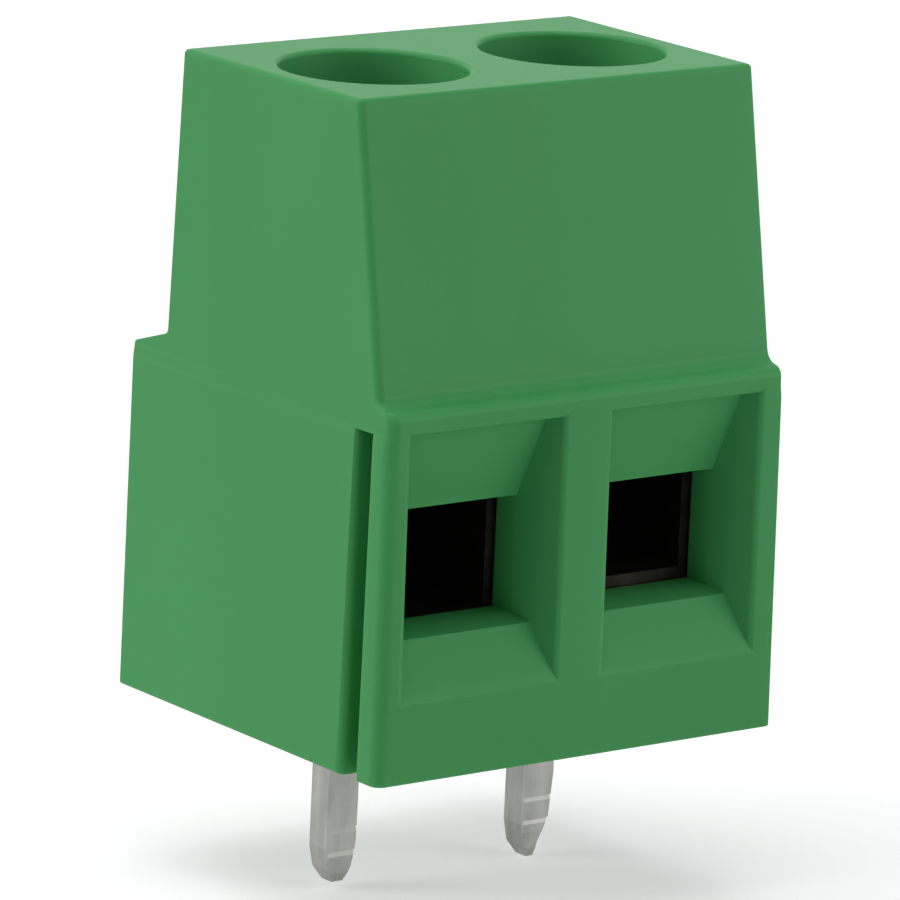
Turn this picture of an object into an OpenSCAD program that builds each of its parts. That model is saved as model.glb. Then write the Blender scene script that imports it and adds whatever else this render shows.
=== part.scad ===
// Two-pole rising-cage screw terminal for a circuit board, 5.08 mm pitch.
// X runs along the row of poles, -Y is the wire entry side, +Z is up, z = 0 is the board.
// The origin lies midway between the two solder pins.

/* [Poles] */
// distance between the two poles
pitch = 5.08; // [5.00:0.01:5.08]

/* [Housing outside] */
// width of the housing at the board
base_w = 10.16; // [10.0:0.02:10.4]
// width just under the crease on the end faces
crease_w = 10.06; // [9.9:0.02:10.3]
// width above the crease
upper_w = 9.96; // [9.8:0.02:10.2]
// height of the crease on the end faces
crease_z = 7.17; // [6.8:0.01:7.4]
// pin line to front face, at the board
front_base = 4.80; // [4.6:0.05:5.2]
// pin line to front face, at the front ledge
front_ledge = 4.70; // [4.5:0.05:5.1]
// height of the front ledge at its outer edge
ledge_z = 7.64; // [7.5:0.01:7.9]
// pin line to the foot of the sloping upper front
slope_foot = 4.25; // [4.0:0.05:4.5]
// height of that foot
slope_foot_z = 7.72; // [7.6:0.01:8.0]
// pin line to the top edge of the sloping upper front
slope_top = 3.20; // [3.0:0.05:3.6]
// overall height above the board
height = 13.75; // [13.0:0.05:14.5]
// pin line to back face
back = 4.35; // [4.0:0.05:4.8]
// height of the back shoulder at its outer edge
shoulder_z = 7.37; // [7.2:0.01:7.6]
// pin line to the foot of the upper back face
upper_back_foot = 3.17; // [3.0:0.01:3.4]
// height of that foot
upper_back_foot_z = 7.75; // [7.6:0.01:8.0]
// pin line to the top edge of the upper back face
upper_back_top = 2.93; // [2.8:0.01:3.2]
// size of the hollow round between ledge and sloping front
ledge_round = 0.24; // [0.1:0.02:0.4]

/* [Wire entries] */
// half width of the funnel mouth
mouth_hw = 1.98; // [1.7:0.02:2.05]
// height of the top of the mouth
mouth_top_z = 7.17; // [6.8:0.01:7.3]
// height at which the lower slope meets the front face
mouth_low_z = 1.65; // [1.4:0.05:2.0]
// depth of the flat ceiling behind the mouth
ceiling_d = 0.38; // [0.1:0.02:0.6]
// half width of the inner window
window_hw = 1.50; // [1.3:0.02:1.7]
// bottom of the inner window
window_low_z = 2.94; // [2.7:0.02:3.1]
// top of the inner window
window_top_z = 5.42; // [5.2:0.02:5.6]
// pin line to the plane of the window
window_y = 3.76; // [3.6:0.02:4.0]
// pin line to the crest of the lower slope
crest_y = 4.15; // [4.0:0.02:4.3]
// height of that crest
crest_z = 2.82; // [2.6:0.02:2.94]

/* [End face groove and tongue] */
// pin line to the front wall of the groove
groove_front = 4.14; // [4.0:0.02:4.3]
// pin line to the back wall of the groove
groove_back = 3.58; // [3.4:0.02:3.7]
// depth of the groove
groove_depth = 0.50; // [0.3:0.05:0.6]
// radius of the groove's rounded rear edge
groove_round = 0.22; // [0.05:0.01:0.3]
// how far the tongue on the other end stands out
tongue_out = 0.42; // [0.2:0.02:0.5]
// thickness of the tongue
tongue_t = 0.42; // [0.3:0.02:0.5]

/* [Screws] */
// pin line to screw axis, towards the wire side
screw_y = 0.30; // [0.0:0.05:0.6]
// radius of the driver wells in the top face
well_r = 1.95; // [1.8:0.01:2.0]
// thread radius
thread_r = 1.25; // [1.0:0.05:1.27]
// radius of the screw head
head_r = 1.70; // [1.6:0.01:1.74]
// height of the screw head
head_h = 1.70; // [1.4:0.1:2.0]
// underside of the screw head
head_z = 10.40; // [10.2:0.05:10.8]
// tip of the screw
tip_z = 6.03; // [6.0:0.01:6.3]
// width of the driver slot
slot_w = 0.62; // [0.5:0.02:0.8]
// depth of the driver slot
slot_d = 0.85; // [0.6:0.05:1.0]

/* [Cages] */
// half width of a cage
cage_hw = 1.92; // [1.8:0.01:1.94]
// half width of the opening through a cage
cage_open_hw = 1.32; // [1.2:0.02:1.4]
// pin line to the front of the cages
cage_front = 3.00; // [2.8:0.05:3.05]
// front to back length of a cage
cage_len = 5.00; // [4.5:0.1:5.1]
// bottom of a fully lowered cage
cage_low_z = 2.20; // [2.0:0.05:2.4]
// thickness of the plate under the wire
cage_plate = 0.70; // [0.5:0.05:0.9]
// height of the opening through a cage
cage_open_h = 3.10; // [3.0:0.05:3.2]
// thickness of the threaded top of a cage
cage_nut = 1.40; // [1.2:0.05:1.6]
// how far the left cage stands above its lowest place
lift_left = 0.00; // [0.0:0.01:2.3]
// how far the right cage stands above its lowest place
lift_right = 0.28; // [0.0:0.01:2.3]

/* [Contacts] */
// sheet thickness of a contact
strip_t = 0.60; // [0.5:0.05:0.8]
// width of the clamping tongue and of the foot
strip_w = 2.40; // [2.0:0.1:2.5]
// width of the upright back of a contact
web_w = 3.88; // [3.4:0.02:3.9]
// underside of the clamping tongue
tongue_z = 5.35; // [5.2:0.05:5.5]
// pin line to the end of the clamping tongue
tongue_end = 2.75; // [2.4:0.05:2.9]
// underside of the foot
foot_z = 0.30; // [0.1:0.05:0.6]
// width of a solder pin
pin_w = 0.76; // [0.6:0.02:1.0]
// length of the left pin below the board
pin_left_l = 3.48; // [3.2:0.01:4.0]
// length of the right pin below the board
pin_right_l = 3.64; // [3.2:0.01:4.0]
// how much the outer side of the left pin runs in towards its tip
pin_left_run = 0.04; // [0.0:0.01:0.3]
// how much the outer side of the right pin runs in towards its tip
pin_right_run = 0.24; // [0.0:0.01:0.3]

/* [Hidden] */
$fn = 96;
eps = 0.02;
clear = 0.05;
poles = [-pitch / 2, pitch / 2];
wide = base_w + 4;
// cage pocket
pocket_hw = cage_hw + clear;
pocket_front = cage_front + 0.10;
pocket_back = cage_len - cage_front + 0.10;
pocket_top_z = head_z - 0.50;
// upright back of the contacts
web_y = pocket_back + 0.10;
web_pocket_back = web_y + strip_t + clear;
web_pocket_top_z = tongue_z + strip_t + 0.15;
// ring that keeps a screw head down
ring_z = head_z + head_h + 0.10;
ring_h = 0.20;
ring_r = head_r - 0.03;
chamber_r = head_r + clear;
shank_hole_r = thread_r + 0.10;
// teeth that hold a contact in its pocket
barb_out = 0.05;
barb_h = 0.50;
pin_y = strip_t / 2;
bend_r = 0.15;

green = "#4a9a60";
nickel = "#b8b6ae";
zinc = "#c4c8cc";
tin = "#a9aaa4";

// point at share t of the curve from a to c that leans towards b
function lean(a, b, c, t) = (1 - t) * (1 - t) * a + 2 * t * (1 - t) * b + t * t * c;

// extrude a (y, z) outline along X, from x0 over a width w
module along_x(x0, w) {
  translate([x0, 0, 0])
    rotate([90, 0, 90])
      linear_extrude(w)
        children();
}

// extrude an (x, z) outline along Y, from y0 backwards over a length l
module along_y(y0, l) {
  translate([0, y0 + l, 0])
    rotate([90, 0, 0])
      linear_extrude(l)
        children();
}

module box(x0, x1, y0, y1, z0, z1) {
  translate([x0, y0, z0])
    cube([x1 - x0, y1 - y0, z1 - z0]);
}

// end view of the housing: drafted base, ledge, sloping front, back shoulder
module end_outline() {
  foot = [-slope_foot, slope_foot_z];
  to_ledge = [slope_foot - front_ledge, ledge_z - slope_foot_z] / (front_ledge - slope_foot);
  to_top = [slope_foot - slope_top, height - slope_foot_z] / (height - slope_foot_z);
  a = foot + to_ledge * ledge_round;
  c = foot + to_top * ledge_round;
  polygon(concat(
    [[-front_base, 0], [-front_ledge, ledge_z]],
    [for (i = [0:6]) lean(a, foot, c, i / 6)],
    [[-slope_top, height], [upper_back_top, height]],
    [[upper_back_foot, upper_back_foot_z], [back, shoulder_z], [back, 0]]
  ));
}

// front view of the housing: drafted base, small step at the crease
module front_outline() {
  polygon([
    [-base_w / 2, 0], [-crease_w / 2, crease_z],
    [-upper_w / 2, crease_z], [-upper_w / 2, height],
    [upper_w / 2, height], [upper_w / 2, crease_z],
    [crease_w / 2, crease_z], [base_w / 2, 0]
  ]);
}

// space cut for one wire: a funnel down to the window, then straight into the cage pocket
module wire_entry(x) {
  out = 0.3;
  side = (mouth_hw - window_hw) / (front_base - window_y);
  fall = (crest_z - mouth_low_z) / (front_base - crest_y);
  y_out = front_base + out;
  intersection() {
    along_x(x - wide, 2 * wide)
      polygon([
        [-y_out, mouth_top_z], [-front_ledge + ceiling_d, mouth_top_z],
        [-window_y, window_top_z], [-window_y, window_low_z],
        [-crest_y, crest_z], [-y_out, mouth_low_z - out * fall]
      ]);
    translate([x, 0, 0])
      linear_extrude(height)
        polygon([
          [-mouth_hw - out * side, -y_out], [mouth_hw + out * side, -y_out],
          [window_hw, -window_y], [-window_hw, -window_y]
        ]);
  }
  box(x - window_hw, x + window_hw, -window_y - eps, -pocket_front + eps,
    window_low_z, window_top_z);
}

// pocket for one cage and its contact, open at the board, with the driver well above
module pole_space(x) {
  box(x - pocket_hw, x + pocket_hw, -pocket_front, pocket_back, -1, pocket_top_z);
  box(x - pocket_hw, x + pocket_hw, pocket_back - eps, web_pocket_back, -1, web_pocket_top_z);
  translate([x, -screw_y, pocket_top_z - eps])
    cylinder(h = head_z - pocket_top_z + 2 * eps, r = shank_hole_r);
  translate([x, -screw_y, head_z])
    cylinder(h = ring_z - head_z, r = chamber_r);
  translate([x, -screw_y, ring_z - eps])
    cylinder(h = ring_h + 2 * eps, r = ring_r);
  translate([x, -screw_y, ring_z + ring_h])
    cylinder(h = height, r = well_r);
}

// upright groove in the left end, open at the board, its rear edge rounded
module end_groove() {
  x0 = -base_w / 2;
  floor_x = x0 + groove_depth;
  box(x0 - 1, floor_x, -groove_front, -groove_back, -1, crease_z);
  difference() {
    box(x0 - 1, x0 + groove_round, -groove_back - eps, -groove_back + groove_round, -1, crease_z);
    translate([x0 + groove_round, -groove_back + groove_round, -2])
      cylinder(h = height, r = groove_round);
  }
}

// tongue on the right end that fits the groove of the next housing
module end_tongue() {
  x0 = crease_w / 2 - 0.2;
  mid = -(groove_front + groove_back) / 2;
  box(x0, base_w / 2 + tongue_out, mid - tongue_t / 2, mid + tongue_t / 2, 0.25, crease_z - 0.25);
}

module housing() {
  color(green)
    difference() {
      union() {
        intersection() {
          along_x(-wide / 2, wide)
            end_outline();
          along_y(-wide, 2 * wide)
            front_outline();
        }
        end_tongue();
      }
      for (x = poles) {
        pole_space(x);
        wire_entry(x);
      }
      end_groove();
    }
}

// lift cage: a box section around the wire and the tongue, its top tapped for the screw
module cage(x, lift) {
  open_z = cage_low_z + cage_plate;
  nut_z = open_z + cage_open_h;
  corner = 0.30;
  color(nickel)
    translate([x, 0, lift])
      difference() {
        along_y(-cage_front, cage_len)
          polygon([
            [-cage_hw + corner, cage_low_z], [cage_hw - corner, cage_low_z],
            [cage_hw, cage_low_z + corner], [cage_hw, nut_z + cage_nut],
            [-cage_hw, nut_z + cage_nut], [-cage_hw, cage_low_z + corner]
          ]);
        box(-cage_open_hw, cage_open_hw, -cage_front - 1, cage_len, open_z, nut_z);
        translate([0, -screw_y, nut_z - 1])
          cylinder(h = cage_nut + 2, r = thread_r + clear);
      }
}

// cheese-head screw with a slot
module screw(x, turn) {
  chamfer = 0.25;
  head_top_z = head_z + head_h;
  color(zinc)
    translate([x, -screw_y, 0])
      rotate([0, 0, turn])
        difference() {
          rotate_extrude()
            polygon([
              [0, tip_z], [thread_r - chamfer, tip_z],
              [thread_r, tip_z + chamfer], [thread_r, head_z],
              [head_r, head_z], [head_r, head_top_z - chamfer],
              [head_r - chamfer, head_top_z], [0, head_top_z]
            ]);
          box(-head_r - 1, head_r + 1, -slot_w / 2, slot_w / 2, head_top_z - slot_d, head_top_z + 1);
        }
}

// quarter of a bent strip around an axis along X; a and b pick the quarter
module bend(w, y, z, a, b) {
  outer = bend_r + strip_t;
  translate([-w / 2, y, z])
    intersection() {
      rotate([0, 90, 0])
        difference() {
          cylinder(h = w, r = outer);
          translate([0, 0, -1])
            cylinder(h = w + 2, r = bend_r);
        }
      translate([0, a < 0 ? -outer : 0, b < 0 ? -outer : 0])
        cube([w, outer, outer]);
    }
}

// solder pin, coined to a blunt point; run is how far its outer side leans in
module pin(length, run) {
  hw = pin_w / 2;
  ht = strip_t / 2;
  shoulder = foot_z - bend_r;
  mark_d = 0.04;
  difference() {
    intersection() {
      along_y(-ht, strip_t)
        polygon([
          [-hw, shoulder], [-hw, -length + 0.75], [-hw + 0.05, -length + 0.30],
          [-hw + 0.24, -length], [hw - 0.22 - run / 2, -length],
          [hw - 0.06 - run, -length + 0.30], [hw - run / 5, -length + 0.85],
          [hw + run / 5, -length / 2], [hw, shoulder]
        ]);
      along_x(-1, 2)
        polygon([
          [-ht, shoulder], [ht, shoulder], [ht, -length + 0.70],
          [ht - 0.06, -length + 0.25], [ht - 0.16, -length],
          [-ht + 0.10, -length], [-ht + 0.03, -length + 0.20], [-ht, -length + 0.55]
        ]);
    }
    for (z = [-2.36, -2.86])
      along_x(-hw + 0.05, pin_w)
        polygon([[-ht - eps, z - 0.10], [-ht + mark_d, z + 0.04], [-ht - eps, z + 0.06]]);
  }
}

// contact bent from one strip: tongue in the cage, upright back, foot and solder pin
module contact(x, length, run) {
  top_z = tongue_z + strip_t;
  web_back = web_y + strip_t;
  r = bend_r + strip_t;
  step_y = 1.0;
  color(tin)
    translate([x, 0, 0]) {
      // tongue, with three shallow gripping grooves underneath
      difference() {
        box(-strip_w / 2, strip_w / 2, -tongue_end, web_back - r, tongue_z, top_z);
        for (y = [-2.3, -1.8, -1.3])
          along_x(-strip_w, 2 * strip_w)
            polygon([[y - 0.12, tongue_z - eps], [y, tongue_z + 0.10], [y + 0.12, tongue_z - eps]]);
      }
      bend(strip_w, web_back - r, top_z - r, 1, 1);
      // upright back, toothed where it grips the housing
      box(-strip_w / 2, strip_w / 2, web_y, web_back, foot_z + r, top_z - r);
      box(-web_w / 2, web_w / 2, web_y, web_back, foot_z + r, tongue_z - 0.9);
      for (z = [1.6, 3.2])
        along_y(web_y, strip_t)
          polygon([
            [-web_w / 2, z], [-pocket_hw - barb_out, z], [-web_w / 2, z + barb_h],
            [web_w / 2, z + barb_h], [pocket_hw + barb_out, z], [web_w / 2, z]
          ]);
      bend(strip_w, web_back - r, foot_z + r, 1, -1);
      // foot, narrowing to the pin
      box(-strip_w / 2, strip_w / 2, step_y, web_back - r, foot_z, foot_z + strip_t);
      box(-pin_w / 2, pin_w / 2, pin_y + bend_r, step_y + eps, foot_z, foot_z + strip_t);
      bend(pin_w, pin_y + bend_r, foot_z - bend_r, -1, 1);
      pin(length, run);
    }
}

module cage_left() {
  cage(poles[0], lift_left);
}

module cage_right() {
  cage(poles[1], lift_right);
}

module screw_left() {
  screw(poles[0], 20);
}

module screw_right() {
  screw(poles[1], 75);
}

module contact_left() {
  contact(poles[0], pin_left_l, pin_left_run);
}

module contact_right() {
  contact(poles[1], pin_right_l, pin_right_run);
}

housing();
cage_left();
cage_right();
screw_left();
screw_right();
contact_left();
contact_right();
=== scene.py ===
"""Two-pole screw terminal: the looks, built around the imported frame.

Shape dimensions are millimetres in the part's frame: +X along the poles, -Y out of the wire entries, +Z up.
Lamp places and sizes are metres.
"""

import math

import bmesh
import bpy
from mathutils import Matrix, Vector


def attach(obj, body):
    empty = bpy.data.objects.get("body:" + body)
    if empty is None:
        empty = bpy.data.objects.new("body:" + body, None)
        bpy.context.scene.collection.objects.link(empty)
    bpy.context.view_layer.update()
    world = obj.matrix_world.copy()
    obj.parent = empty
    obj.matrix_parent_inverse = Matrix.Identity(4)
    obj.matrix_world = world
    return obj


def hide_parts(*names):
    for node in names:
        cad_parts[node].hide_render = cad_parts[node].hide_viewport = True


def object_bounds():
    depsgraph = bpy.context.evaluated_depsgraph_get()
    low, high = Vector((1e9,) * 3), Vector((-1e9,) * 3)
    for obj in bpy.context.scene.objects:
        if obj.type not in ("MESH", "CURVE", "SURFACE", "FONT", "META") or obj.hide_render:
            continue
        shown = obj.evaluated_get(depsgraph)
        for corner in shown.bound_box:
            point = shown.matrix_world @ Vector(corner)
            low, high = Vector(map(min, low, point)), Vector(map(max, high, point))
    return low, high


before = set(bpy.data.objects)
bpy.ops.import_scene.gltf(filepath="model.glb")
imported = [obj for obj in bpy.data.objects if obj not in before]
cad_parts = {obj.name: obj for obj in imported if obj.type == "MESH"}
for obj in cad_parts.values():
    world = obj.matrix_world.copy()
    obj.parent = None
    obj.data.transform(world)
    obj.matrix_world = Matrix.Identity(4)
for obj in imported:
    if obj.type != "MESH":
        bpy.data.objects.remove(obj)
cad_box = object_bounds()

MM = 0.001

# ---------------------------------------------------------------- dimensions
POLES = {"left": -2.54, "right": 2.54}

# housing walls from foot to top: (distance from the origin, height)
HEIGHT = 13.75
CREASE_Z = 7.17
FRONT = [(4.80, 0.0), (4.70, 7.64), (4.25, 7.72), (3.20, HEIGHT)]
BACK = [(4.35, 0.0), (4.35, 7.37), (3.17, 7.75), (2.93, HEIGHT)]
SIDE = [(5.075, 0.0), (5.02, CREASE_Z - 0.12), (4.99, CREASE_Z + 0.12), (4.985, HEIGHT)]

# housing edges
FRONT_BEND_R = [0.22, 0.32]
BACK_BEND_R = [0.08, 0.15]
SIDE_BEND_R = [1.2, 1.2]
CORNER_R = 0.06
CORNER_R_LEAST = 0.02
RIDGE_R = {"base": 0.28, "upper": 0.17}
RIDGE_R_LEAST = 0.03
RIDGE_BLEND_BELOW = 0.35
RIDGE_BLEND_ABOVE = 0.25
TOP_R = 0.11
FOOT_R = 0.07

# wire entries
MOUTH_HW = 1.98
MOUTH_TOP_Z = 7.17
MOUTH_LOW_Z = 1.65
CEILING_D = 0.38
WINDOW_HW = 1.50
WINDOW_Z = (2.94, 5.42)
WINDOW_Y = 3.76
CREST_Y = 4.15
CREST_Z = 2.82
MOUTH_R = 0.10
LOW_LIP_SHARE = 0.35

# groove in the left end, tongue on the right end
GROOVE_Y = (-4.14, -3.58)
GROOVE_DEPTH = 0.50
GROOVE_R = 0.22
TONGUE_OUT = 0.42
TONGUE_ROOT = 0.30
TONGUE_T = 0.42
TONGUE_Z = (0.25, 6.92)
TONGUE_CORNER_R = 0.09
TONGUE_END_R = 0.06

# screws and their wells
SCREW_Y = 0.30
WELL_R = 1.95
WELL_RIM_R = 0.10
WELL_RIM_TURN = 82
RING_R = 1.67
RING_Z = (12.20, 12.40)
CHAMBER_R = 1.75
HEAD_Z = 10.40
HEAD_H = 1.70
HEAD_R = 1.70
HEAD_TOP_R = 0.16
HEAD_FOOT_R = 0.06
SHANK_HOLE_R = 1.35
THREAD_R = 1.25
THREAD_PITCH = 0.45
THREAD_DEPTH = 0.24
THREAD_FLAT = 0.12
ROOT_CLEAR = 0.06
TIP_Z = 6.03
TIP_CHAMFER = 0.30
RUN_OUT = 0.45
SLOT_W = 0.62
SLOT_D = 0.85
SCREW_TURN = {"left": 20.0, "right": 75.0}

# cage pockets, open at the board
POCKET_HW = 1.97
POCKET_Y = (-3.10, 2.10)
POCKET_TOP_Z = 9.90
WEB_POCKET_BACK = 2.85
WEB_POCKET_TOP_Z = 6.10

# carried-over metal parts: edge widths, and the heights over which the contacts fade from their tin to
# painted shade inside the housing
CAGE_EDGE = 0.05
CONTACT_EDGE = 0.07
SHADE_FADE_FROM_Z = 0.1
SHADE_FULL_FROM_Z = 0.6

# how finely round shapes are stepped
BEND_STEPS = 5
CORNER_STEPS = 6
SIDE_BEND_STEPS = 3
GROOVE_STEPS = 8
WELL_STEPS = 96
SCREW_STEPS = 64
THREAD_ROWS_PER_TURN = 10

# how far a cutter runs on: a hair into the next hollow, or well clear of the part
EPS = 0.02
CLEAR = 1.0
MERGE = 0.0005

# ---------------------------------------------------------------- camera, lamps, colours
CAMERA_AT = (-89.164, -117.324, 40.122)
CAMERA_AIM = (-0.242, -0.400, 5.538)
CAMERA_ROLL = 2.57
LENS = 291.985
SENSOR = 36.0
NEAR_CLIP = 0.01
FAR_CLIP = 10.0

LAMP_AIM = (0, 0, 0.006)
LAMPS = {
    "top": {"at": (-0.06, 0.03, 0.40), "size": (0.35, 0.35), "power": 0.95},
    "left": {"at": (-0.42, 0.20, 0.16), "size": (0.20, 0.20), "power": 0.85},
    "right": {"at": (0.32, -0.33, 0.12), "size": (0.30, 0.25), "power": 0.62},
}
FILL_COLOUR = (0.95, 0.97, 1.0, 1)
FILL_STRENGTH = 0.18
WHITE = (1, 1, 1, 1)

FLOOR_HALF = 1.5
FLOOR_GAP = 0.01
FLOOR_COLOUR = (0.80, 0.80, 0.80, 1)
FLOOR_ROUGHNESS = 0.9
FLOOR_SPECULAR = 0.1
FLOOR_GLOW = 0.45

GREEN_DARK = (0.046, 0.292, 0.080)
GREEN_LIGHT = (0.058, 0.325, 0.098)
GREEN_ROUGHNESS = (0.42, 0.52)
GREEN_SPECULAR = 0.22
GREEN_DEPTH_WEIGHT = 0.25
GREEN_DEPTH_REACH = (0.25, 1.0, 0.35)
GREEN_DEPTH_SCALE = 0.0005
# Painted shade: near-black colour for the contacts inside the housing, where they lie in deep shade.
PAINTED_SHADE_COLOUR = (0.04, 0.037, 0.032, 1)


# ---------------------------------------------------------------- mesh tools
def new_object(name, bm):
    """A Blender object in metres from a bmesh drawn in millimetres."""
    bmesh.ops.recalc_face_normals(bm, faces=bm.faces)
    mesh = bpy.data.meshes.new(name)
    bm.to_mesh(mesh)
    bm.free()
    mesh.transform(Matrix.Scale(MM, 4))
    piece = bpy.data.objects.new(name, mesh)
    bpy.context.scene.collection.objects.link(piece)
    return piece


def loft(name, loops):
    """A closed skin through loops of equally many points, capped at both ends."""
    bm = bmesh.new()
    rings = [[bm.verts.new(p) for p in loop] for loop in loops]
    for low, high in zip(rings, rings[1:]):
        for i in range(len(low)):
            j = (i + 1) % len(low)
            bm.faces.new((low[i], low[j], high[j], high[i]))
    bm.faces.new(rings[0])
    bm.faces.new(rings[-1])
    return new_object(name, bm)


def box(name, x, y, z):
    """A box from three (low, high) pairs."""
    corners = [(x[0], y[0]), (x[1], y[0]), (x[1], y[1]), (x[0], y[1])]
    return loft(name, [[(a, b, h) for a, b in corners] for h in z])


def round_loop(centre, radius_at, z, steps):
    """A level loop round an upright axis; radius_at takes the share of a turn."""
    loop = []
    for i in range(steps):
        a = math.tau * i / steps
        r = radius_at(i / steps)
        loop.append((centre[0] + r * math.cos(a), centre[1] + r * math.sin(a), z))
    return loop


def turned_loops(outline, centre, steps):
    """Loops for (radius, height) points turned round an upright axis."""
    return [round_loop(centre, lambda share, r=r: r, z, steps) for r, z in outline]


def quarter_turn(steps):
    """Angles from 0 to a quarter turn, both ends included."""
    return [math.pi / 2 * i / steps for i in range(steps + 1)]


def combine(piece, other, how):
    """Add or cut one solid, then drop it."""
    step = piece.modifiers.new(how.lower(), "BOOLEAN")
    step.operation = how
    step.solver = "EXACT"
    step.object = other
    apply_modifiers(piece)
    bpy.data.objects.remove(other)


def apply_modifiers(piece):
    """Give the piece the mesh that its modifiers make."""
    graph = bpy.context.evaluated_depsgraph_get()
    made = bpy.data.meshes.new_from_object(piece.evaluated_get(graph))
    old = piece.data
    piece.modifiers.clear()
    piece.data = made
    bpy.data.meshes.remove(old)


def clean(piece, dissolve_deg):
    """Join faces that lie in one plane and drop slivers left by the cuts."""
    bm = bmesh.new()
    bm.from_mesh(piece.data)
    bmesh.ops.remove_doubles(bm, verts=bm.verts, dist=MERGE * MM)
    bmesh.ops.dissolve_limit(bm, angle_limit=math.radians(dissolve_deg), verts=bm.verts, edges=bm.edges)
    bm.to_mesh(piece.data)
    bm.free()


def keep_flats_flat(piece):
    """Let large faces set the shading of the roundings beside them."""
    flats = piece.modifiers.new("flats", "WEIGHTED_NORMAL")
    flats.weight = 80
    return flats


def smooth(piece, sharp_deg):
    """Smooth shading that breaks at sharp edges and keeps flat faces flat."""
    piece.data.shade_smooth()
    piece.data.set_sharp_from_angle(angle=math.radians(sharp_deg))
    keep_flats_flat(piece).keep_sharp = True


# ---------------------------------------------------------------- housing
def fillet(points, radii, steps=BEND_STEPS):
    """Round the corners of a polyline; radii are given for its inner points."""
    path = [Vector(points[0])]
    for before, corner, after, radius in zip(points, points[1:], points[2:], radii):
        corner = Vector(corner)
        to_before = (Vector(before) - corner).normalized()
        to_after = (Vector(after) - corner).normalized()
        half = to_before.angle(to_after) / 2
        back_off = radius / math.tan(half)
        start = corner + to_before * back_off
        end = corner + to_after * back_off
        centre = corner + (to_before + to_after).normalized() * radius / math.sin(half)
        for i in range(steps + 1):
            arm = (start - centre).lerp(end - centre, i / steps).normalized() * radius
            path.append(centre + arm)
    path.append(Vector(points[-1]))
    return path


def ends_rounded(path):
    """Round a wall's foot and its top edge, as (distance, height) points rising all the way."""
    foot = []
    top = []
    for a in quarter_turn(BEND_STEPS):
        foot.append((path[0][0] - FOOT_R * (1 - math.sin(a)), FOOT_R * (1 - math.cos(a))))
        top.append((path[-1][0] - TOP_R * (1 - math.cos(a)), HEIGHT - TOP_R * (1 - math.sin(a))))
    middle = [tuple(p) for p in path[1:-1]]
    return foot + middle + top


def at_height(path, z):
    """A wall's distance at one height."""
    for (u0, z0), (u1, z1) in zip(path, path[1:]):
        if z0 <= z <= z1:
            return u0 if z1 - z0 < 1e-9 else u0 + (u1 - u0) * (z - z0) / (z1 - z0)
    return path[-1][0]


def rounded_rectangle(x0, x1, y0, y1, radius, front_left=None):
    """Outline with one radius at every corner, or another at the front left."""
    own = radius if front_left is None else front_left
    centres = [
        (x1 - radius, y1 - radius, radius),
        (x0 + radius, y1 - radius, radius),
        (x0 + own, y0 + own, own),
        (x1 - radius, y0 + radius, radius),
    ]
    loop = []
    for quarter, (cx, cy, r) in enumerate(centres):
        for i in range(CORNER_STEPS + 1):
            a = math.pi / 2 * (quarter + i / CORNER_STEPS)
            loop.append((cx + r * math.cos(a), cy + r * math.sin(a)))
    return loop


def shell():
    """Outer skin: a stack of rounded rectangles that follows the front, back and side walls."""
    front = ends_rounded(fillet(FRONT, FRONT_BEND_R))
    back = ends_rounded(fillet(BACK, BACK_BEND_R))
    side = ends_rounded(fillet(SIDE, SIDE_BEND_R, SIDE_BEND_STEPS))
    heights = sorted({round(z, 5) for path in (front, back, side) for _, z in path})
    blend_low = FRONT[1][1] - RIDGE_BLEND_BELOW
    blend_high = FRONT[2][1] + RIDGE_BLEND_ABOVE
    loops = []
    for z in heights:
        half = at_height(side, z)
        straight_z = min(max(z, FOOT_R), HEIGHT - TOP_R)
        inset = max(0.0, at_height(side, straight_z) - half)
        share = min(max((z - blend_low) / (blend_high - blend_low), 0.0), 1.0)
        ridge = RIDGE_R["base"] + (RIDGE_R["upper"] - RIDGE_R["base"]) * share
        corner_r = max(CORNER_R - inset, CORNER_R_LEAST)
        ridge_r = max(ridge - inset, RIDGE_R_LEAST)
        y0 = -at_height(front, z)
        y1 = at_height(back, z)
        outline = rounded_rectangle(-half, half, y0, y1, corner_r, ridge_r)
        loops.append([(x, y, z) for x, y in outline])
    return loft("housing_shell", loops)


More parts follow.
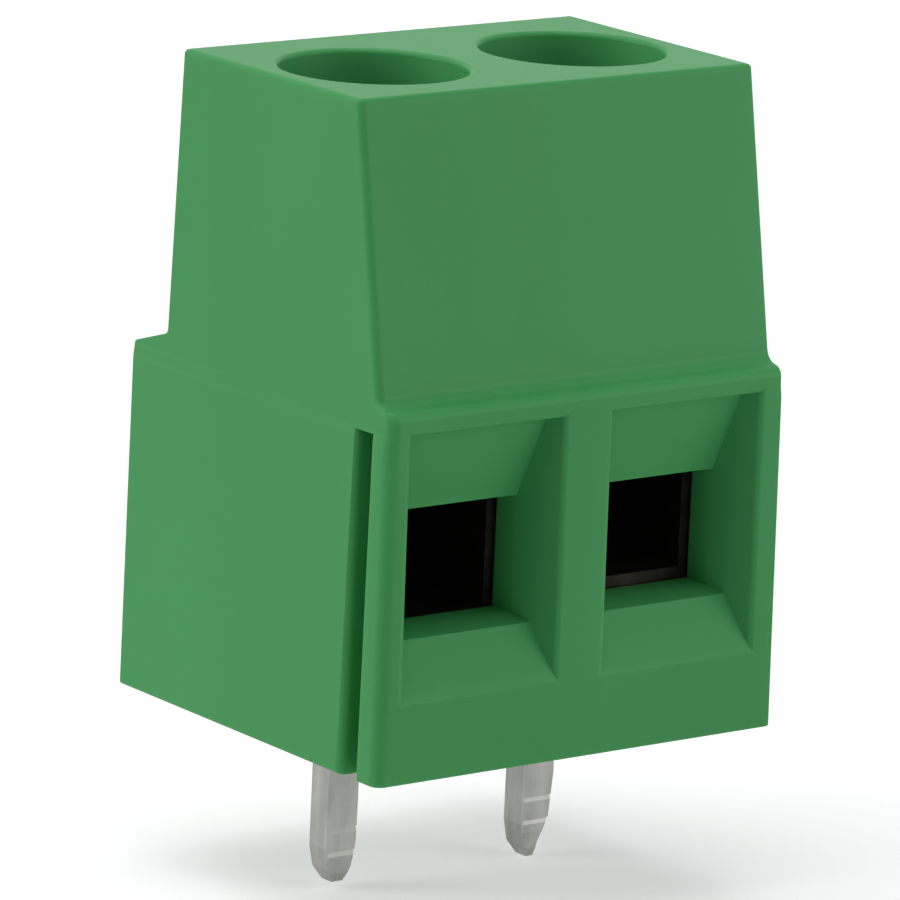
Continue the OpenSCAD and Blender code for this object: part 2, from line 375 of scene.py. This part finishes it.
def mouth_cutter(x):
    """Space for one wire: flared mouth, funnel, window and the way into the pocket."""
    (f0, z0), (f1, z1) = FRONT[0], FRONT[1]
    ceiling_y = f1 - CEILING_D

    def face(z):
        return f0 + (f1 - f0) * (z - z0) / (z1 - z0)

    def low(y):
        if y > CREST_Y:
            return CREST_Z + (MOUTH_LOW_Z - CREST_Z) * (y - CREST_Y) / (f0 - CREST_Y)
        return WINDOW_Z[0] + (CREST_Z - WINDOW_Z[0]) * (y - WINDOW_Y) / (CREST_Y - WINDOW_Y)

    def high(y):
        if y > ceiling_y:
            return MOUTH_TOP_Z
        return WINDOW_Z[1] + (MOUTH_TOP_Z - WINDOW_Z[1]) * (y - WINDOW_Y) / (ceiling_y - WINDOW_Y)

    def half(y):
        return WINDOW_HW + (MOUTH_HW - WINDOW_HW) * (y - WINDOW_Y) / (f0 - WINDOW_Y)

    def section(hw, lo, hi, y_lo, y_hi):
        return [(x - hw, -y_lo, lo), (x + hw, -y_lo, lo), (x + hw, -y_hi, hi), (x - hw, -y_hi, hi)]

    # (depth behind the front face, widening): one in front of the face, then the rounded rim
    flares = [(-4 * MOUTH_R, MOUTH_R)]
    for a in quarter_turn(BEND_STEPS):
        flares.append((MOUTH_R * (1 - math.cos(a)), MOUTH_R * (1 - math.sin(a))))
    loops = []
    for depth, flare in flares:
        y_lo = face(MOUTH_LOW_Z) - depth
        y_hi = face(MOUTH_TOP_Z) - depth
        hw = half((y_lo + y_hi) / 2) + flare
        loops.append(section(hw, low(y_lo) - LOW_LIP_SHARE * flare, high(y_hi) + flare, y_lo, y_hi))
    for y in (ceiling_y, CREST_Y, WINDOW_Y):
        loops.append(section(half(y), low(y), high(y), y, y))
    end = -POCKET_Y[0] - EPS
    loops.append(section(WINDOW_HW, *WINDOW_Z, end, end))
    return loft("mouth", loops)


def well_cutter(x):
    """Hole for one screw: shank clearance, head chamber, retaining ring and the well with its rim."""
    rim = []
    for i in range(CORNER_STEPS + 1):
        a = math.radians(WELL_RIM_TURN) * i / CORNER_STEPS
        rim.append((WELL_R + WELL_RIM_R * (1 - math.cos(a)), HEIGHT - WELL_RIM_R * (1 - math.sin(a))))
    outline = [
        (SHANK_HOLE_R, POCKET_TOP_Z - EPS), (SHANK_HOLE_R, HEAD_Z),
        (CHAMBER_R, HEAD_Z), (CHAMBER_R, RING_Z[0]),
        (RING_R, RING_Z[0]), (RING_R, RING_Z[1]),
        (WELL_R, RING_Z[1]), *rim, (rim[-1][0] + 0.05, HEIGHT + 0.5),
    ]
    return loft("well", turned_loops(outline, (x, -SCREW_Y), WELL_STEPS))


def groove_cutter():
    """Upright groove in the left end, open at the board, with its back edge rounded."""
    face = -SIDE[0][0]
    floor = face + GROOVE_DEPTH
    front, back = GROOVE_Y
    out = face - CLEAR
    outline = [(out, front), (floor, front), (floor, back)]
    for a in quarter_turn(GROOVE_STEPS):
        outline.append((face + GROOVE_R * (1 - math.sin(a)), back + GROOVE_R * (1 - math.cos(a))))
    outline.append((out, back + GROOVE_R))
    return loft("groove", [[(x, y, z) for x, y in outline] for z in (-CLEAR, CREASE_Z)])


def tongue():
    """Upright tongue on the right end, in line with the groove."""
    mid = sum(GROOVE_Y) / 2
    half = TONGUE_T / 2
    x0 = SIDE[1][0] - TONGUE_ROOT
    x1 = SIDE[0][0] + TONGUE_OUT
    z0, z1 = TONGUE_Z
    r = TONGUE_END_R
    loops = []
    for z, inset in [(z0, r), (z0 + r, 0.0), (z1 - r, 0.0), (z1, r)]:
        y0 = mid - half + inset
        y1 = mid + half - inset
        outline = rounded_rectangle(x0, x1 - inset, y0, y1, TONGUE_CORNER_R - inset)
        loops.append([(x, y, z) for x, y in outline])
    return loft("tongue", loops)


def make_housing():
    """The whole moulding, in place of the CAD housing."""
    piece = shell()
    combine(piece, tongue(), "UNION")
    for x in POLES.values():
        inner = (x - POCKET_HW, x + POCKET_HW)
        combine(piece, box("pocket", inner, POCKET_Y, (-CLEAR, POCKET_TOP_Z)), "DIFFERENCE")
        web_y = (POCKET_Y[1] - EPS, WEB_POCKET_BACK)
        combine(piece, box("web_pocket", inner, web_y, (-CLEAR, WEB_POCKET_TOP_Z)), "DIFFERENCE")
        combine(piece, well_cutter(x), "DIFFERENCE")
        combine(piece, mouth_cutter(x), "DIFFERENCE")
    combine(piece, groove_cutter(), "DIFFERENCE")
    clean(piece, dissolve_deg=0.4)
    smooth(piece, sharp_deg=28)
    piece.name = "housing_moulding"
    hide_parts("housing")
    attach(piece, "housing")
    return piece


# ---------------------------------------------------------------- screws
def thread_section(share):
    """Depth across one thread with flat crest and root, 0 at the crest and 1 at the root."""
    up = abs(share - 0.5) * 2
    return min(max((up - THREAD_FLAT) / (1 - 2 * THREAD_FLAT), 0.0), 1.0)


def thread_radius(z, turn):
    """Radius of the threaded shank at one height and share of a turn."""
    depth = THREAD_DEPTH * thread_section((z / THREAD_PITCH + turn) % 1.0)
    from_tip = min((z - TIP_Z) / TIP_CHAMFER, 1.0)
    from_head = min(max((HEAD_Z - z) / RUN_OUT, 0.0), 1.0)
    crest = THREAD_R - (1 - from_tip) * TIP_CHAMFER
    return max(crest - depth * from_head * from_tip, THREAD_R - THREAD_DEPTH - ROOT_CLEAR)


def make_screw(side):
    """One slotted screw with a real thread, in place of the CAD screw."""
    x = POLES[side]
    centre = (x, -SCREW_Y)
    rows = int((HEAD_Z - TIP_Z) / THREAD_PITCH * THREAD_ROWS_PER_TURN)
    loops = []
    for i in range(rows + 1):
        z = TIP_Z + (HEAD_Z - TIP_Z) * i / rows
        loops.append(round_loop(centre, lambda turn, z=z: thread_radius(z, turn), z, SCREW_STEPS))
    top = HEAD_Z + HEAD_H
    head = [(HEAD_R - HEAD_FOOT_R, HEAD_Z), (HEAD_R, HEAD_Z + HEAD_FOOT_R)]
    for a in quarter_turn(BEND_STEPS):
        head.append((HEAD_R - HEAD_TOP_R * (1 - math.cos(a)), top - HEAD_TOP_R * (1 - math.sin(a))))
    head.append((HEAD_R - HEAD_TOP_R - 0.05, top))
    piece = loft(f"screw_{side}_detail", loops + turned_loops(head, centre, SCREW_STEPS))
    length = (-HEAD_R - CLEAR, HEAD_R + CLEAR)
    slot = box("slot", length, (-SLOT_W / 2, SLOT_W / 2), (top - SLOT_D, top + CLEAR))
    place = Matrix.Translation(Vector((x, -SCREW_Y, 0)) * MM)
    slot.data.transform(place @ Matrix.Rotation(math.radians(SCREW_TURN[side]), 4, "Z"))
    combine(piece, slot, "DIFFERENCE")
    clean(piece, dissolve_deg=0.2)
    smooth(piece, sharp_deg=35)
    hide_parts(f"screw_{side}")
    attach(piece, f"screw_{side}")
    return piece


# ---------------------------------------------------------------- carried-over metal parts
def soften(node, width, edge_slot=0):
    """Round the edges of a CAD part with modifiers only; the rounding may take its own material."""
    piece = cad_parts[node]
    join = piece.modifiers.new("join", "DECIMATE")
    join.decimate_type = "DISSOLVE"
    join.angle_limit = math.radians(0.3)
    edge = piece.modifiers.new("edge", "BEVEL")
    edge.width = width * MM
    edge.segments = 3
    edge.limit_method = "ANGLE"
    edge.angle_limit = math.radians(32)
    edge.use_clamp_overlap = False
    edge.harden_normals = False
    edge.material = edge_slot
    keep_flats_flat(piece)
    piece.data.shade_smooth()
    return piece


# ---------------------------------------------------------------- materials
def shader(name):
    """A node material, with its nodes, its links and its Principled node."""
    material = bpy.data.materials.new(name)
    material.use_nodes = True
    nodes = material.node_tree.nodes
    return material, nodes, material.node_tree.links, nodes["Principled BSDF"]


def noise_node(nodes, links, scale, detail, stretch=None):
    """Noise in object space, scale in features a metre."""
    place = nodes.new("ShaderNodeTexCoord")
    texture = nodes.new("ShaderNodeTexNoise")
    texture.inputs["Scale"].default_value = scale
    texture.inputs["Detail"].default_value = detail
    if stretch:
        mapping = nodes.new("ShaderNodeMapping")
        mapping.inputs["Scale"].default_value = stretch
        links.new(place.outputs["Object"], mapping.inputs["Vector"])
        links.new(mapping.outputs["Vector"], texture.inputs["Vector"])
    else:
        links.new(place.outputs["Object"], texture.inputs["Vector"])
    return texture


def vary(nodes, links, main, noise, colours, positions, roughness):
    """Let a noise choose between two colours and two roughnesses."""
    ramp = nodes.new("ShaderNodeValToRGB")
    for stop, colour, position in zip(ramp.color_ramp.elements, colours, positions):
        stop.position = position
        stop.color = (*colour, 1)
    links.new(noise.outputs["Fac"], ramp.inputs["Fac"])
    links.new(ramp.outputs["Color"], main.inputs["Base Color"])
    rough = nodes.new("ShaderNodeMapRange")
    rough.inputs["To Min"].default_value = roughness[0]
    rough.inputs["To Max"].default_value = roughness[1]
    links.new(noise.outputs["Fac"], rough.inputs["Value"])
    links.new(rough.outputs["Result"], main.inputs["Roughness"])


def add_bump(nodes, links, main, noise, strength, distance):
    """Raise the surface a little with a noise; distance in metres."""
    bump = nodes.new("ShaderNodeBump")
    bump.inputs["Strength"].default_value = strength
    bump.inputs["Distance"].default_value = distance
    links.new(noise.outputs["Fac"], bump.inputs["Height"])
    links.new(bump.outputs["Normal"], main.inputs["Normal"])


def green_plastic():
    """Satin moulded plastic that lets a little light through."""
    material, nodes, links, main = shader("green_plastic")
    cloud = noise_node(nodes, links, 160, 3, (1.0, 1.0, 0.35))
    speck = noise_node(nodes, links, 9000, 2)
    vary(nodes, links, main, cloud, (GREEN_DARK, GREEN_LIGHT), (0.30, 0.72), GREEN_ROUGHNESS)
    add_bump(nodes, links, main, speck, strength=0.10, distance=0.00002)
    main.inputs["Subsurface Weight"].default_value = GREEN_DEPTH_WEIGHT
    main.inputs["Subsurface Radius"].default_value = GREEN_DEPTH_REACH
    main.inputs["Subsurface Scale"].default_value = GREEN_DEPTH_SCALE
    main.inputs["Specular IOR Level"].default_value = GREEN_SPECULAR
    return material


def plated_metal(name, dark, light, roughness, scale, stretch=None):
    """Metal whose colour, roughness and height follow one noise."""
    material, nodes, links, main = shader(name)
    cloud = noise_node(nodes, links, scale, 5, stretch)
    vary(nodes, links, main, cloud, (dark, light), (0.30, 0.70), roughness)
    add_bump(nodes, links, main, cloud, strength=0.25, distance=0.00001)
    main.inputs["Metallic"].default_value = 1.0
    return material


def paint_shade_above(material, z_clear, z_dark):
    """Fade the colour with height from the tin to a near-black painted shade, which stands in for the deep
    shade inside the housing.
    """
    nodes, links = material.node_tree.nodes, material.node_tree.links
    main = nodes["Principled BSDF"]
    colour = main.inputs["Base Color"].links[0].from_socket
    place = nodes.new("ShaderNodeTexCoord")
    split = nodes.new("ShaderNodeSeparateXYZ")
    fade = nodes.new("ShaderNodeMapRange")
    fade.inputs["From Min"].default_value = z_clear * MM
    fade.inputs["From Max"].default_value = z_dark * MM
    mix = nodes.new("ShaderNodeMix")
    mix.data_type = "RGBA"
    factor, tinned, shaded = mix.inputs[0], mix.inputs[6], mix.inputs[7]
    shaded.default_value = PAINTED_SHADE_COLOUR
    links.new(place.outputs["Object"], split.inputs[0])
    links.new(split.outputs["Z"], fade.inputs["Value"])
    links.new(fade.outputs["Result"], factor)
    links.new(colour, tinned)
    links.new(mix.outputs[2], main.inputs["Base Color"])


def dress(piece, *materials):
    """Give a piece its materials, in slot order."""
    piece.data.materials.clear()
    for material in materials:
        piece.data.materials.append(material)


# ---------------------------------------------------------------- studio
def make_camera():
    """The scene's camera, at the front left and a little above."""
    data = bpy.data.cameras.new("camera")
    data.lens = LENS
    data.sensor_width = SENSOR
    data.clip_start = NEAR_CLIP
    data.clip_end = FAR_CLIP
    camera = bpy.data.objects.new("camera", data)
    bpy.context.scene.collection.objects.link(camera)
    at = Vector(CAMERA_AT) * MM
    look = Vector(CAMERA_AIM) * MM - at
    turn = look.to_track_quat("-Z", "Y").to_matrix().to_4x4()
    roll = Matrix.Rotation(math.radians(CAMERA_ROLL), 4, "Z")
    camera.matrix_world = Matrix.Translation(at) @ turn @ roll
    bpy.context.scene.camera = camera


def area_light(name, at, size, power):
    """A soft rectangular lamp, turned to the part."""
    data = bpy.data.lights.new(name, "AREA")
    data.shape = "RECTANGLE"
    data.size, data.size_y = size
    data.energy = power
    lamp = bpy.data.objects.new(name, data)
    bpy.context.scene.collection.objects.link(lamp)
    at = Vector(at)
    turn = (Vector(LAMP_AIM) - at).to_track_quat("-Z", "Y").to_matrix().to_4x4()
    lamp.matrix_world = Matrix.Translation(at) @ turn


def seen_directly(nodes, links):
    """1 for camera, glossy and transmission rays, 0 for the rays that carry light to the part."""
    path = nodes.new("ShaderNodeLightPath")
    seen = path.outputs["Is Camera Ray"]
    for ray in ("Is Glossy Ray", "Is Transmission Ray"):
        either = nodes.new("ShaderNodeMath")
        either.operation = "MAXIMUM"
        links.new(seen, either.inputs[0])
        links.new(path.outputs[ray], either.inputs[1])
        seen = either.outputs[0]
    return seen


def make_world():
    """A white background that lights the part only as a weak fill."""
    world = bpy.data.worlds.new("studio")
    bpy.context.scene.world = world
    world.use_nodes = True
    nodes, links = world.node_tree.nodes, world.node_tree.links
    nodes.clear()
    fill = nodes.new("ShaderNodeBackground")
    fill.inputs["Color"].default_value = FILL_COLOUR
    fill.inputs["Strength"].default_value = FILL_STRENGTH
    white = nodes.new("ShaderNodeBackground")
    white.inputs["Color"].default_value = WHITE
    white.inputs["Strength"].default_value = 1.0
    mix = nodes.new("ShaderNodeMixShader")
    out = nodes.new("ShaderNodeOutputWorld")
    links.new(seen_directly(nodes, links), mix.inputs["Fac"])
    links.new(fill.outputs[0], mix.inputs[1])
    links.new(white.outputs[0], mix.inputs[2])
    links.new(mix.outputs[0], out.inputs["Surface"])


def make_floor():
    """A pale floor just under the pins that looks near white and keeps the part's shadow."""
    bm = bmesh.new()
    bmesh.ops.create_grid(bm, x_segments=1, y_segments=1, size=FLOOR_HALF)
    mesh = bpy.data.meshes.new("floor")
    bm.to_mesh(mesh)
    bm.free()
    floor = bpy.data.objects.new("floor", mesh)
    floor.location.z = cad_box[0].z - FLOOR_GAP * MM
    bpy.context.scene.collection.objects.link(floor)
    material, nodes, links, main = shader("floor_white")
    main.inputs["Base Color"].default_value = FLOOR_COLOUR
    main.inputs["Roughness"].default_value = FLOOR_ROUGHNESS
    main.inputs["Specular IOR Level"].default_value = FLOOR_SPECULAR
    glow = nodes.new("ShaderNodeEmission")
    glow.inputs["Color"].default_value = WHITE
    glow.inputs["Strength"].default_value = FLOOR_GLOW
    dark = nodes.new("ShaderNodeEmission")
    dark.inputs["Strength"].default_value = 0.0
    lift = nodes.new("ShaderNodeMixShader")
    links.new(seen_directly(nodes, links), lift.inputs["Fac"])
    links.new(dark.outputs[0], lift.inputs[1])
    links.new(glow.outputs[0], lift.inputs[2])
    both = nodes.new("ShaderNodeAddShader")
    links.new(main.outputs[0], both.inputs[0])
    links.new(lift.outputs[0], both.inputs[1])
    links.new(both.outputs[0], nodes["Material Output"].inputs["Surface"])
    mesh.materials.append(material)


# ---------------------------------------------------------------- assembly
make_camera()
bpy.context.scene.view_settings.view_transform = "Standard"
make_world()
make_floor()
for lamp_name, lamp in LAMPS.items():
    area_light(lamp_name, lamp["at"], lamp["size"], lamp["power"])

green = green_plastic()
dress(make_housing(), green)

zinc = plated_metal("zinc_plate", (0.50, 0.52, 0.54), (0.66, 0.68, 0.70), (0.22, 0.36), 3000)
nickel = plated_metal("nickel_edge", (0.50, 0.49, 0.46), (0.66, 0.65, 0.61), (0.20, 0.34), 2600)
# Painted shade: the cage's flat faces are painted near black for the deep shade inside the pockets, while
# its rounded edges keep the nickel plating's own colour.
cage_painted_shade = plated_metal("cage_painted_shade_flats", (0.022, 0.020, 0.018), (0.040, 0.036, 0.032), (0.40, 0.60), 2600)
tin = plated_metal("tin_plate", (0.30, 0.30, 0.28), (0.42, 0.42, 0.40), (0.46, 0.62), 2400, (1, 1, 0.3))
# Painted shade: above the board the contacts are painted near black for the deep shade inside the pockets.
paint_shade_above(tin, SHADE_FADE_FROM_Z, SHADE_FULL_FROM_Z)
for side in POLES:
    dress(make_screw(side), zinc)
    # The cage's flat faces take the painted shade, and its rounded edges take the nickel.
    dress(soften(f"cage_{side}", CAGE_EDGE, edge_slot=1), cage_painted_shade, nickel)
    dress(soften(f"contact_{side}", CONTACT_EDGE), tin)
